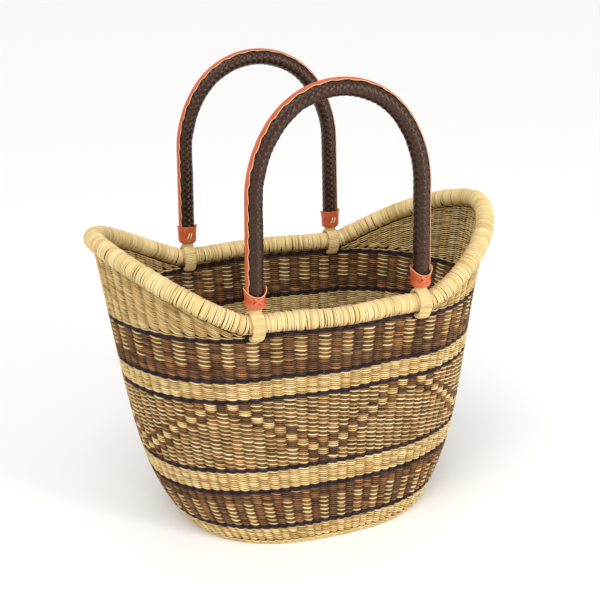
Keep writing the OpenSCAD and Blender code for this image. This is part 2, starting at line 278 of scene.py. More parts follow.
class Nodes:
    """Short helpers for a node tree."""

    def __init__(self, name):
        self.material = bpy.data.materials.new(name)
        self.material.use_nodes = True
        self.tree = self.material.node_tree
        self.shader = self.tree.nodes["Principled BSDF"]

    def new(self, kind, **values):
        node = self.tree.nodes.new(kind)
        for key, value in values.items():
            if key in node.inputs.keys():
                node.inputs[key].default_value = value
            else:
                setattr(node, key, value)
        return node

    def link(self, source, target):
        self.tree.links.new(source, target)

    def ramp(self, fac, stops):
        node = self.new("ShaderNodeValToRGB")
        elements = node.color_ramp.elements
        while len(elements) < len(stops):
            elements.new(0.5)
        for element, (place, colour) in zip(elements, stops):
            element.position = place
            element.color = (*colour, 1)
        self.link(fac, node.inputs[0])
        return node.outputs[0]

    def attribute(self, name):
        return self.new("ShaderNodeAttribute", attribute_name=name).outputs

    def noise(self, scale, squeeze=1.0, by_grain=True, detail=3.0, rough=0.6):
        """Noise with scale features a metre. Along the grain they are 1 / squeeze times as long."""
        if by_grain:
            place = self.attribute("grain")["Vector"]
        else:
            place = self.new("ShaderNodeTexCoord").outputs["Object"]
        mapping = self.new("ShaderNodeMapping")
        mapping.inputs["Scale"].default_value = (squeeze, 1, 1)
        self.link(place, mapping.inputs["Vector"])
        noise = self.new("ShaderNodeTexNoise", Scale=scale, Detail=detail, Roughness=rough)
        self.link(mapping.outputs[0], noise.inputs["Vector"])
        return noise.outputs["Fac"]

    def math(self, operation, a, b):
        node = self.new("ShaderNodeMath", operation=operation)
        for socket, value in zip(node.inputs, (a, b)):
            if isinstance(value, (int, float)):
                socket.default_value = value
            else:
                self.link(value, socket)
        return node.outputs[0]

    def bump(self, height, strength, distance):
        node = self.new("ShaderNodeBump", Strength=strength, Distance=distance)
        self.link(height, node.inputs["Height"])
        self.link(node.outputs[0], self.shader.inputs["Normal"])


BUMP_DEPTH = 0.0003
# Features a metre in the noise, and how much grass streaks are squeezed along the strand
FIBRES = 1500
FIBRE_SQUEEZE = 0.04
BLOTCHES = 45
PORES = 1400
WEAR = 160
# Shares of the strand's tone and of the noise in the colour
GRASS_TONE = 0.48
GRASS_FIBRES = 0.36
HIDE_TONE = 0.62
HIDE_WEAR = 0.38
# How far the noise moves the roughness. The offset keeps the mean near the roughness asked for.
GRASS_ROUGH = (0.3, 0.15)
HIDE_ROUGH = (0.35, 0.17)


def grass(name, stops, rough=0.55, by_grain=True, blotchy=0.2):
    """Dried grass: a tone for each strand, which also carries painted shade, fine streaks along it, and
    blotches from sun or dye.
    """
    n = Nodes(name)
    tone = n.attribute("tone")["Fac"]
    fibres = n.noise(FIBRES, FIBRE_SQUEEZE, by_grain, detail=4)
    blotches = n.noise(BLOTCHES, by_grain=False, detail=2)
    mixed = n.math("ADD", n.math("MULTIPLY", tone, GRASS_TONE),
                   n.math("MULTIPLY", fibres, GRASS_FIBRES))
    mixed = n.math("ADD", mixed, n.math("MULTIPLY", blotches, blotchy))
    n.link(n.ramp(mixed, stops), n.shader.inputs["Base Color"])
    swing, offset = GRASS_ROUGH
    n.link(n.math("ADD", n.math("MULTIPLY", fibres, swing), rough - offset),
           n.shader.inputs["Roughness"])
    n.shader.inputs["Specular IOR Level"].default_value = 0.25
    n.bump(fibres, 0.4, BUMP_DEPTH)
    return n.material


def hide(name, stops, rough, coat, sheen=(1.0, 1.0, 1.0)):
    """Leather: a tone from the mesh, which carries painted shade on the sleeve and the edging strip,
    pores in the bump, and patches of wear in its colour and shine.
    """
    n = Nodes(name)
    tone = n.attribute("tone")["Fac"]
    pores = n.noise(PORES, detail=4)
    wear = n.noise(WEAR, detail=3)
    mixed = n.math("ADD", n.math("MULTIPLY", tone, HIDE_TONE), n.math("MULTIPLY", wear, HIDE_WEAR))
    n.link(n.ramp(mixed, stops), n.shader.inputs["Base Color"])
    swing, offset = HIDE_ROUGH
    n.link(n.math("ADD", n.math("MULTIPLY", wear, swing), rough - offset),
           n.shader.inputs["Roughness"])
    n.shader.inputs["Coat Weight"].default_value = coat
    n.shader.inputs["Coat Roughness"].default_value = 0.25
    n.shader.inputs["Specular Tint"].default_value = (*sheen, 1)
    n.bump(pores, 0.35, BUMP_DEPTH)
    return n.material


# Colours against the mixed tone, from dark to light
STRAW = [(0.2, (0.26, 0.13, 0.04)), (0.38, (0.52, 0.33, 0.12)), (0.55, (0.72, 0.53, 0.23)),
         (0.85, (0.88, 0.74, 0.43))]
BROWN_DYE = [(0.2, (0.030, 0.013, 0.007)), (0.45, (0.095, 0.044, 0.019)),
             (0.62, (0.21, 0.092, 0.032)), (0.85, (0.48, 0.22, 0.075))]
BLACK_DYE = [(0.2, (0.008, 0.004, 0.006)), (0.5, (0.028, 0.014, 0.018)), (0.85, (0.09, 0.048, 0.055))]
# Painted shade, for the dark sheet inside the wall and for the rim's core
DEEP_SHADE = [(0.2, (0.012, 0.006, 0.003)), (0.5, (0.035, 0.018, 0.008)), (0.85, (0.10, 0.055, 0.022))]
BROWN_HIDE = [(0.2, (0.006, 0.003, 0.002)), (0.5, (0.020, 0.009, 0.006)), (0.85, (0.07, 0.034, 0.024))]
ORANGE_HIDE = [(0.2, (0.30, 0.04, 0.012)), (0.5, (0.56, 0.10, 0.028)), (0.85, (0.74, 0.20, 0.07))]
RAW_HIDE = [(0.2, (0.50, 0.20, 0.08)), (0.5, (0.72, 0.40, 0.20)), (0.85, (0.84, 0.58, 0.36))]

NATURAL = grass("natural_grass", STRAW)
BROWN = grass("brown_grass", BROWN_DYE, blotchy=0.3)
BLACK = grass("black_grass", BLACK_DYE)
WRAP = grass("wrapping_straw", STRAW, rough=0.5)
STAKE = grass("stake_grass", STRAW, by_grain=False)
# Painted shade: a dark material for the sheet inside the wall and for the rim's core
PAINTED_SHADE = grass("shade_sheet", DEEP_SHADE, rough=0.8, by_grain=False)
BROWN_LEATHER = hide("brown_leather", BROWN_HIDE, 0.33, 0.12, sheen=(1.0, 0.62, 0.46))
ORANGE_LEATHER = hide("orange_leather", ORANGE_HIDE, 0.5, 0.1)
CUT_EDGE = hide("cut_edge_leather", RAW_HIDE, 0.7, 0.0)

# ---- Twined rows ----

# Points of a strand from one stake to the next
PER_STAKE = 4
# How far a strand swings out and in around the stakes, and how squarely it does so
OUT_SWING = 2.05 * MM
UP_SWING = -0.5 * MM
SWING_POWER = 0.65
# Half sizes of a strand. In a band, the second one is a share of the height of a row.
HALF_OUT = 1.0 * MM
HALF_UP = 0.92 * MM
BAND_HALF_UP = 0.39
# Unevenness of tone, height and thickness along a row
TONE_SPREAD = 0.2
WAVE = 0.16 * MM
THICKNESS = (0.8, 1.12)
# Painted light and shade in the strands' tone: how much lighter a strand is painted over a stake, and how
# much darker, as painted shade, where it dives between two
STAKE_LIGHT = 0.05
DIVE_SHADE = 0.42
# Natural strands vary less than dyed ones from stake to stake
NATURAL_SHARE = 0.2
ANGLE_STEP = 1e-3

N, B, K = "natural", "brown", "black"
MATERIAL = {N: NATURAL, B: BROWN, K: BLACK}
SLOT = {N: "natural_grass", B: "brown_grass", K: "black_grass"}

# Each stake leans a little, as hand-set stakes do
WOBBLE_OUT = RANDOM.normal(0, 0.22 * MM, STAKES)
WOBBLE_T = RANDOM.normal(0, 0.045, STAKES)
# Dye and sun differ a little from one stake to the next
COLUMN_TONE = RANDOM.normal(0, 0.08, STAKES)


def periodic(values, t):
    """A value for each stake, read at stake number t, which need not be whole."""
    return np.interp(np.asarray(t) % STAKES, np.arange(STAKES + 1), np.append(values, values[0]))


def squared(swing):
    """A swing from -1 to 1 that stays longer near its ends."""
    return np.sign(swing) * np.abs(swing) ** SWING_POWER


def twine_path(t, z, phase, reach=OUT_SWING):
    """Points and outward normals of a strand that passes the stakes by turns outside and inside."""
    a = stake_angle(t + periodic(WOBBLE_T, t))
    p = surface(a, z)
    normal = outward(surface(a + ANGLE_STEP, z) - surface(a - ANGLE_STEP, z))
    swing = squared(np.cos(np.pi * t + phase))
    p = p + normal * (reach * swing + periodic(WOBBLE_OUT, t))[:, None]
    p[:, 2] += UP_SWING * np.sin(np.pi * t + phase)
    return p, normal


def shaded(tone, t):
    """Tone along a strand, with painted shade where it dives between two stakes and a little painted
    light over each stake.
    """
    dive = 1 - np.abs(np.cos(np.pi * t)) ** SWING_POWER
    return (tone + STAKE_LIGHT - DIVE_SHADE * dive).clip(0, 1)


def uneven(count):
    """Thickness of hand-picked grass, as a share of the usual."""
    return RANDOM.uniform(*THICKNESS, count)


def colour_runs(colours):
    """Start, end and colour of each run of equal colours."""
    runs, start = [], 0
    for i in range(1, len(colours) + 1):
        if i == len(colours) or colours[i] != colours[start]:
            runs.append((start, i, colours[start]))
            start = i
    return runs


def twine_row(builders, z_at, pair, half_up):
    """One row of two twined strands. z_at(t) is its height. pair(k) gives the colours of the outer
    and the inner strand at stake k."""
    for strand in (0, 1):
        runs = colour_runs([pair(k)[(k + strand) % 2] for k in range(STAKES)])
        closed = len(runs) == 1
        for begin, end, colour in runs:
            stakes = end - begin
            count = stakes * PER_STAKE + (0 if closed else 1)
            t = begin - 0.5 + np.arange(count) / PER_STAKE
            p, normal = twine_path(t, z_at(t), math.pi * strand)
            tones = RANDOM.normal(0.5, TONE_SPREAD, stakes + 1)
            share = NATURAL_SHARE if colour == N else 1
            tones = (tones + share * periodic(COLUMN_TONE, np.arange(begin, end + 1))).clip(0, 1)
            place = np.minimum(np.arange(count) // PER_STAKE, stakes)
            thick = half_up * uneven(len(tones))[place]
            tone = shaded(tones[place], t)
            builders[colour].strand(p, normal, HALF_OUT, thick, closed=closed, tone=tone)


def row_height(z):
    """Height along a level row, with the small waves of hand weaving."""
    waves = RANDOM.normal(0, WAVE, STAKES)
    return lambda t: z + periodic(waves, t)


def woven_band(name, pairs):
    """Rows that fill a CAD band. pairs is a list of pair functions, from the bottom row up."""
    builders = {N: Builder(), B: Builder(), K: Builder()}
    bottom, top = low(name)[2], high(name)[2]
    pitch = (top - bottom) / len(pairs)
    for i, pair in enumerate(pairs):
        twine_row(builders, row_height(bottom + (i + 0.5) * pitch), pair, pitch * BAND_HALF_UP)
    used = [c for c in (N, B, K) if builders[c].count]
    for colour in used:
        label = name if len(used) == 1 else f"{name}_{colour}"
        builders[colour].piece("woven_" + label, MATERIAL[colour], "basket", SLOT[colour],
                               (name,) if colour == used[0] else ())


def plain(colour):
    return lambda k: (colour, colour)


def checked(k):
    """Natural and brown by turns: on its own, such a row is a line of pale ticks."""
    return (N, B) if k % 2 == 0 else (B, N)


def dark_rows(count, tick_rows):
    """Brown rows, with pale ticks in those whose numbers are in tick_rows."""
    return [checked if i in tick_rows else plain(B) for i in range(count)]


ZIGZAG_ROWS = 32
ZIGZAG_PERIODS = 5
ZIGZAG_FIRST_PEAK = 55
ZIGZAG_TOP = 29
ZIGZAG_CLIMB = 3.3
ZIGZAG_BLOCK = 3
ZIGZAG_PEAKS = [round(ZIGZAG_FIRST_PEAK + i * STAKES / ZIGZAG_PERIODS) % STAKES
                for i in range(ZIGZAG_PERIODS)]


def stakes_from_peak(k):
    """Stakes between stake k and the nearest peak of the zigzag."""
    return min(min((k - peak) % STAKES, (peak - k) % STAKES) for peak in ZIGZAG_PEAKS)


def zigzag_row(row):
    """A row of the zigzag: pale blocks, each between two dark ones, on rows that mix both."""
    def pair(k):
        away = stakes_from_peak(k)
        if away == 0:
            return (B, N) if row >= ZIGZAG_TOP else checked(k + row)
        level = round(ZIGZAG_TOP - ZIGZAG_CLIMB * (away - 1))
        if level <= row < level + ZIGZAG_BLOCK:
            return N, B
        if level - ZIGZAG_BLOCK <= row < level + 2 * ZIGZAG_BLOCK:
            return B, N
        return checked(k + row)
    return pair


FOOT_ROWS = 6
LOWER_DARK_ROWS = 16
LOWER_NATURAL_ROWS = 9
UPPER_NATURAL_ROWS = 8
UPPER_DARK_ROWS = 17
LINE_ROWS = 2
# Every other row at the bottom of the lower dark band and at the top of the upper one has ticks
LOWER_TICKS = range(0, 12, 2)
UPPER_TICKS = range(6, UPPER_DARK_ROWS, 2)

woven_band("foot_band", [plain(N)] * FOOT_ROWS)
woven_band("lower_dark_band", dark_rows(LOWER_DARK_ROWS, LOWER_TICKS))
woven_band("lower_natural_band", [plain(N)] * LOWER_NATURAL_ROWS)
woven_band("zigzag_band", [zigzag_row(i) for i in range(ZIGZAG_ROWS)])
woven_band("upper_natural_band", [plain(N)] * UPPER_NATURAL_ROWS)
woven_band("upper_dark_band", dark_rows(UPPER_DARK_ROWS, UPPER_TICKS))
for line in ("foot_line", "lower_dark_line", "lower_zigzag_line", "upper_zigzag_line",
             "upper_dark_line"):
    woven_band(line, [plain(K)] * LINE_ROWS)


# ---- Raised ends, the rows under the rim and a dark sheet of painted shade inside the wall ----

def angle_at(c):
    """Turning angle at part c of the half length."""
    return math.acos(c ** (FOOT_POWER / 2))


# The loops hang in four notches, between these stake numbers counted from a tip
FEET_IN = stake_number(angle_at(SEAT_FROM))
WING_END = stake_number(angle_at(SEAT_TO) - math.radians(1))
HALF_WAY = STAKES / 2
RIM_LINE_Z = low("rim_line")[2]
WING_Z = high("rim_line")[2]
# Rows close to the rim swing less, so that they keep clear of it
TIGHT_SWING = 1.3 * MM
NOTCH_DROP = 0.2 * MM
UNDER_RIM = 8.2 * MM
WING_HALF_UP = 0.62 * MM
WING_WAVE = 0.24 * MM
# How much further than its radius the rim keeps from the wing's rows, half way up to the tip
WING_CLEARANCE = 0.12
LEAST_WING_H = 0.8 * ROW_H
# Least distance, in stakes, from a wing's end to its first whole stake
END_ROOM = 0.3
SHEET_T = 0.5 * MM
SHEET_BOTTOM = 4 * MM
SHEET_UNDER_RIM = 5 * MM
SHEET_STEPS = 24


def twine_arc(builder, t_from, t_to, z_at, reach=OUT_SWING, half_up=HALF_UP):
    """A pair of strands of one colour over part of the outline."""
    t = np.linspace(t_from, t_to, max(3, round((t_to - t_from) * PER_STAKE) + 1))
    place = np.arange(len(t)) // PER_STAKE
    for strand in (0, 1):
        p, normal = twine_path(t, z_at(t), math.pi * strand, reach)
        tones = RANDOM.normal(0.5, TONE_SPREAD, len(t) // PER_STAKE + 1).clip(0, 1)
        thick = half_up * uneven(len(tones))[place]
        builder.strand(p, normal, HALF_OUT, thick, tone=shaded(tones[place], t))


def middle_arcs():
    """The outline's front and back between the feet of a handle, in stake numbers."""
    return [(FEET_IN, HALF_WAY - 1 - FEET_IN), (HALF_WAY + FEET_IN, STAKES - 1 - FEET_IN)]


def wing_arcs():
    """The outline's right and left end, in stake numbers."""
    return [(-1 - WING_END, WING_END), (HALF_WAY - 1 - WING_END, HALF_WAY + WING_END)]


def notch_arcs():
    """The four gaps that the loops hang in, with half a stake to spare at each end."""
    start, end = WING_END - 0.5, FEET_IN + 0.5
    return [(start, end), (HALF_WAY - 1 - end, HALF_WAY - 1 - start),
            (HALF_WAY + start, HALF_WAY + end), (STAKES - 1 - end, STAKES - 1 - start)]


def shade_sheet():
    """A thin dark sheet in the middle of the wall, which closes it between the strands: painted shade for
    the gaps between rows.
    """
    a = np.linspace(0, 2 * np.pi, STAKES * 4, endpoint=False)
    top = rim_z(a) - SHEET_UNDER_RIM
    share = np.linspace(0, 1, SHEET_STEPS)
    sheets = []
    for offset, shares in ((SHEET_T / 2, share), (-SHEET_T / 2, share[::-1])):
        for part in shares:
            p = surface(a, SHEET_BOTTOM + part * (top - SHEET_BOTTOM))
            sheets.append(p + offset * outward(np.roll(p, -1, 0) - np.roll(p, 1, 0)))
    builder = Builder()
    builder.skin(np.array(sheets)[:, ::-1], looped=True)
    builder.piece("shade_sheet", PAINTED_SHADE, "basket", "stake_grass")


def rim_line():
    """Two rows that the rim sits over, black but for a brown one between the feet of a handle."""
    black, brown = Builder(), Builder()
    for arc in notch_arcs():
        twine_arc(black, *arc, row_height(RIM_LINE_Z - NOTCH_DROP), TIGHT_SWING)
    for arc in middle_arcs():
        twine_arc(brown, *arc, row_height(RIM_LINE_Z + 0.5 * ROW_H))
        twine_arc(black, *arc, row_height(RIM_LINE_Z + 1.5 * ROW_H))
    for arc in wing_arcs():
        for rows_up in (0.5, 1.5):
            twine_arc(black, *arc, row_height(RIM_LINE_Z + rows_up * ROW_H))
    black.piece("woven_rim_line", BLACK, "basket", "black_grass", ("rim_line",))
    brown.piece("woven_rim_line_brown", BROWN, "basket", "brown_grass")


def rim_bed():
    """A black row under the rim between the feet of a handle, and a straw row all round in the rim."""
    black, straw = Builder(), Builder()
    for arc in middle_arcs():
        twine_arc(black, *arc, row_height(WING_Z + 0.5 * ROW_H))
    twine_arc(straw, 0, STAKES, lambda t: rim_z(stake_angle(t)) - UNDER_RIM, TIGHT_SWING)
    black.piece("woven_rim_bed", BLACK, "basket", "black_grass", ("rim_bed",))
    straw.piece("row_inside_rim", NATURAL, "basket", "natural_grass")


def wing_height(t):
    """Height of the raised wall above the rim line."""
    a = stake_angle(t)
    part = wing_part(np.abs(along(a)))
    clearance = RIM_R * (1 + WING_CLEARANCE * np.sin(np.pi * np.sqrt(part)))
    return rim_z(a) - clearance - WING_Z


def with_ends(values, first, last):
    """Values of the knots first to last, and one half way to the next knot at each open end."""
    row = list(values[first:last + 1])
    if first > 0:
        row.insert(0, (values[first - 1] + values[first]) / 2)
    if last < len(values) - 1:
        row.append((values[last] + values[last + 1]) / 2)
    return row


def wing(name, arc):
    """Rows of a raised end, each over the stakes that have room for it."""
    builder = Builder()
    start, end = arc
    knots = np.concatenate([[start], np.arange(math.ceil(start + END_ROOM), end - END_ROOM), [end]])
    heights = np.maximum(wing_height(knots), LEAST_WING_H)
    counts = np.maximum(1, np.round(heights / ROW_H)).astype(int)
    # Row 0 is whole. Above it the shortest rows come first, so the long ones run beside the rim
    order = -np.arange(counts.max()) % counts.max()
    here = order[:, None] < counts[None, :]
    below = np.cumsum(here, 0) - here
    pitch = heights / counts
    z = WING_Z + (below + 0.5 * here) * pitch
    for row, row_here in enumerate(here):
        there = np.flatnonzero(row_here)
        t = with_ends(knots, there[0], there[-1])
        level = with_ends(z[row], there[0], there[-1])
        level = np.array(level) + RANDOM.normal(0, WING_WAVE, len(t))
        twine_arc(builder, t[0], t[-1], lambda at: np.interp(at, t, level), half_up=WING_HALF_UP)
    builder.piece("woven_" + name, NATURAL, "basket", "natural_grass", (name,))


# The dark sheet of painted shade inside the wall
shade_sheet()
rim_line()
rim_bed()
wing("right_wing", wing_arcs()[0])
wing("left_wing", wing_arcs()[1])


# ---- Base: rows around a central slit, over spokes ----

BASE_MID = 3 * MM
BASE_SWING = 1.85 * MM
# Height at which the base takes the wall's outline
BASE_OUTLINE_Z = 0.002
BASE_DEPTH = half_y(BASE_OUTLINE_Z)
BASE_TONE_SPREAD = 0.15
# A row has the first number of spokes that its length calls for
BASE_SPOKES = ((0.45, 88), (0.2, 44), (0.0, 22))
BASE_PER_SPOKE = 3
EDGE_LOWEST = 1.25 * MM


def base_point(a, inset):
    """Point of the base at turning angle a, inset from the outline."""
    x, y = half_x(BASE_OUTLINE_Z) - inset, BASE_DEPTH - inset
    return np.stack([x * along(a), y * across(a, BASE_OUTLINE_Z), np.full(np.shape(a), BASE_MID)], -1)


def base_rows(builder):
    """Rows twined around the spokes, from the edge to the slit."""
    for inset in np.arange(0.4 * MM, BASE_DEPTH - 1.5 * MM, ROW_H):
        around = 2 * math.pi * (BASE_DEPTH - inset) + 0.08
        spokes = next(count for length, count in BASE_SPOKES if around > length)
        t = np.arange(spokes * BASE_PER_SPOKE) / BASE_PER_SPOKE
        for strand in (0, 1):
            p = base_point(stake_angle(t * STAKES / spokes), inset)
            p[:, 2] += BASE_SWING * squared(np.cos(np.pi * (t + strand)))
            tone = RANDOM.normal(0.5, BASE_TONE_SPREAD, len(t)).clip(0, 1)
            builder.strand(p, np.broadcast_to(UP, p.shape), 0.9 * MM, 1.15 * MM, 5, True, tone)


def base_slit(builder):
    """Two straight strands that fill the slit left by the rows."""
    slit, steps = half_x(BASE_OUTLINE_Z) - BASE_DEPTH, 24
    for y in (-0.8 * MM, 0.8 * MM):
        p = np.stack([np.linspace(-slit, slit, steps), np.full(steps, y), np.full(steps, BASE_MID)], -1)
        builder.strand(p, np.broadcast_to(UP, p.shape), 1.2 * MM, 0.9 * MM)


def base_spokes(builder):
    for k in range(0, STAKES, 2):
        p = base_point(np.full(5, stake_angle(k)), np.linspace(1 * MM, BASE_DEPTH - 3 * MM, 5))
        builder.strand(p, np.broadcast_to(UP, p.shape), 0.8 * MM, 1.5 * MM, 5)


def base_edge(builder):
    """Two rows where the base turns up into the foot."""
    t = np.arange(STAKES * PER_STAKE) / PER_STAKE
    for z, inset in ((1.3 * MM, 1.0 * MM), (3.6 * MM, 0.2 * MM)):
        for strand in (0, 1):
            p, normal = twine_path(t, z, math.pi * strand)
            p -= normal * inset
            p[:, 2] = np.maximum(p[:, 2], EDGE_LOWEST)
            builder.strand(p, normal, HALF_OUT, HALF_UP, closed=True)


def base():
    builder = Builder()
    base_rows(builder)
    base_slit(builder)
    base_spokes(builder)
    base_edge(builder)
    builder.piece("woven_base", NATURAL, "basket", "natural_grass", ("base_disc",))


base()


# ---- Rim: one long straw wound round and round a bundle ----

WIND_PITCH = 1.65 * MM
WIND_PER_TURN = 14
# Turns that bunch together at the lower side, fewest and most, and how closely they do
BUNCH = (3, 9)
BUNCH_PULL = (0.1, 0.4)
# The straw's half sizes and how far its middle stays inside the rim's radius
WIND_HALF_OUT = 0.62 * MM
WIND_HALF_ALONG = 0.95
WIND_INSIDE = 0.72 * MM


def rim_frame(steps=2400):
    """Points along the rim at even steps, the outward and upward directions of its section there,
    and its length."""
    a = np.linspace(0, 2 * np.pi, steps * 4)
    p = surface(a, rim_z(a))
    run = running_length(p)
    even = np.linspace(0, run[-1], steps + 1)[:-1]
    p = np.stack([np.interp(even, run, p[:, i]) for i in range(3)], -1)
    reach = 8
    tangent = unit(np.roll(p, -reach, 0) - np.roll(p, reach, 0))
    out = unit(np.cross(tangent, UP))
    return p, out, np.cross(out, tangent), run[-1]


def bunches(turns):
    """First and last turn of each bunch of turns."""
    ends = np.cumsum(RANDOM.integers(BUNCH[0], BUNCH[1] + 1, turns))
    ends = np.append(ends[ends < turns - BUNCH[0]], turns)
    return np.append(0, ends[:-1]), ends


def rim_wrap():
    p, out, up, length = rim_frame()
    turns = round(length / WIND_PITCH)
    starts, ends = bunches(turns)
    u = np.arange(turns * WIND_PER_TURN) / WIND_PER_TURN
    turn = np.floor(u).astype(int)
    bunch = np.searchsorted(ends, turn, side="right")
    middle = (starts + ends)[bunch] / 2
    pull = RANDOM.uniform(*BUNCH_PULL, len(ends))[bunch]
    phi = 2 * np.pi * u
    lower = np.clip(-np.cos(phi), 0, 1) ** 1.5
    lean = RANDOM.normal(0, 0.22, turns)[turn] * np.sin(phi)
    place = (u + (middle - u) * pull * lower + lean) / turns * len(p)
    i = np.floor(place).astype(int)
    f = (place - i)[:, None]
    centre, outer, upper = [v[i % len(p)] * (1 - f) + v[(i + 1) % len(p)] * f for v in (p, out, up)]
    spoke = unit(upper * np.cos(phi)[:, None] + outer * np.sin(phi)[:, None])
    bulge = RANDOM.normal(0, 0.16 * MM, turns)
    bulge = bulge + RANDOM.normal(0, 0.08 * MM, len(ends))[bunch[::WIND_PER_TURN]]
    radius = RIM_R - WIND_INSIDE + np.interp(u, np.arange(turns), bulge) - 0.4 * MM * lower
    width = RANDOM.normal(WIND_HALF_ALONG, 0.12, turns)[turn] * MM * (1 - 0.38 * lower)
    # Painted shade: each turn of the straw is darker on the rim's lower side.
    tone = (RANDOM.normal(0.64, 0.17, turns)[turn] - 0.4 * lower).clip(0, 1)
    builder = Builder()
    builder.strand(centre + spoke * radius[:, None], spoke, WIND_HALF_OUT, width, 6, True, tone)
    builder.piece("rim_winding", WRAP, "basket", "wrapping_straw", ("rim_wrap",))


rim_wrap()


# ---- Handles, built around their own hinge line and then put on the front or the back rim ----

# Relief and unevenness of the plait, and the strips in it
PLAIT_RELIEF = 0.75 * MM
PLAIT_LUMPS = 0.16 * MM
PLAIT_LUMP_STEP = 0.012
PLAIT_STRIPS = 6
PLAIT_PITCH = 6.5 * MM
SLEEVE_SIDES = 84
# The edging's teeth, and its half width in degrees between and at them
TOOTH = 15 * MM
TOOTH_RISE = 0.7
EDGING_HALF = 24
TOOTH_HALF = 11
EDGING_STEPS = 9
# The collar's outline from its inner bottom edge round to its inside: share of height, radius in mm
COLLAR_PROFILE = ((0.0, 6.6), (0.0, 8.3), (0.05, 9.1), (0.14, 9.6), (0.3, 9.8), (0.5, 9.7),
                  (0.7, 9.9), (0.88, 10.4), (0.97, 10.8), (1.0, 10.8), (1.0, 10.1), (0.9, 9.2),
                  (0.75, 8.3), (0.5, 8.2))
COLLAR_SIDES = 56
COLLAR_DIP = 0.34
COLLAR_LIP_R = 10.75 * MM
TIE_Z = COLLAR_Z + 0.46 * COLLAR_H
# The loop: turns of its straw, half its width, and half its thickness at the top
LOOP_TURNS = 44
LOOP_PER_TURN = 20
LOOP_HALF_W = 5.75
LOOP_HALF_T = 1.45
# Half sizes of the straw on the loop, across it and along it
STRAW_HALF_OUT = 0.5 * MM
STRAW_HALF_ALONG = 1.05 * MM
NECK_TURNS = 6
NECK_Z = 11.8 * MM
NECK_PITCH = 1.75 * MM


def arch_sizes():
    """Leg length, the shoulder's centre, and the top arc's centre and radius."""
    def sizes(leg):
        sx = FOOT_X - leg * math.sin(LEG_LEAN) - SHOULDER_R * math.cos(LEG_LEAN)
        sz = leg * math.cos(LEG_LEAN) - SHOULDER_R * math.sin(LEG_LEAN)
        r = SHOULDER_R + sx / math.cos(SHOULDER_END)
        z = sz - (r - SHOULDER_R) * math.sin(SHOULDER_END)
        return leg, sx, sz, z, r
    low_try, high_try = sizes(0.0), sizes(1.0)
    rise = (high_try[3] + high_try[4]) - (low_try[3] + low_try[4])
    return sizes((ARCH_H - low_try[3] - low_try[4]) / rise)


def arch(foot, step):
    """Points and outward normals along the arch in its own XZ plane, from the right foot at height
    foot along the leg to the left foot, at even steps."""
    leg, sx, sz, tz, tr = arch_sizes()
    up_leg = np.linspace(foot, leg, 60, endpoint=False)
    x, z = FOOT_X - up_leg * math.sin(LEG_LEAN), up_leg * math.cos(LEG_LEAN)
    b = np.linspace(LEG_LEAN, SHOULDER_END, 120, endpoint=False)
    x = np.append(x, sx + SHOULDER_R * np.cos(b))
    z = np.append(z, sz + SHOULDER_R * np.sin(b))
    b = np.linspace(SHOULDER_END, math.pi / 2, 80)
    x, z = np.append(x, tr * np.cos(b)), np.append(z, tz + tr * np.sin(b))
    x, z = np.concatenate([x, -x[-2::-1]]), np.concatenate([z, z[-2::-1]])
    run = np.concatenate([[0], np.cumsum(np.hypot(np.diff(x), np.diff(z)))])
    even = np.linspace(0, run[-1], round(run[-1] / step) + 1)
    p = np.stack([np.interp(even, run, x), np.zeros(len(even)), np.interp(even, run, z)], -1)
    tangent = unit(np.gradient(p, axis=0))
    return p, np.stack([tangent[:, 2], np.zeros(len(p)), -tangent[:, 0]], -1), even


def around_arch(p, normal, angle, r):
    """Points at radius r and at an angle from the outward normal, for arrays [along][around]."""
    side = np.array([0.0, 1.0, 0.0])
    return (p[:, None] + (r * np.cos(angle))[..., None] * normal[:, None]
            + (r * np.sin(angle))[..., None] * side)


def leg_points(side, x, y, z):
    """Points given beside an upright leg, turned to its lean and moved to its foot."""
    c, s = math.cos(LEG_LEAN), math.sin(LEG_LEAN)
    return np.stack([side * FOOT_X + c * x - side * s * z, y, side * s * x + c * z], -1)


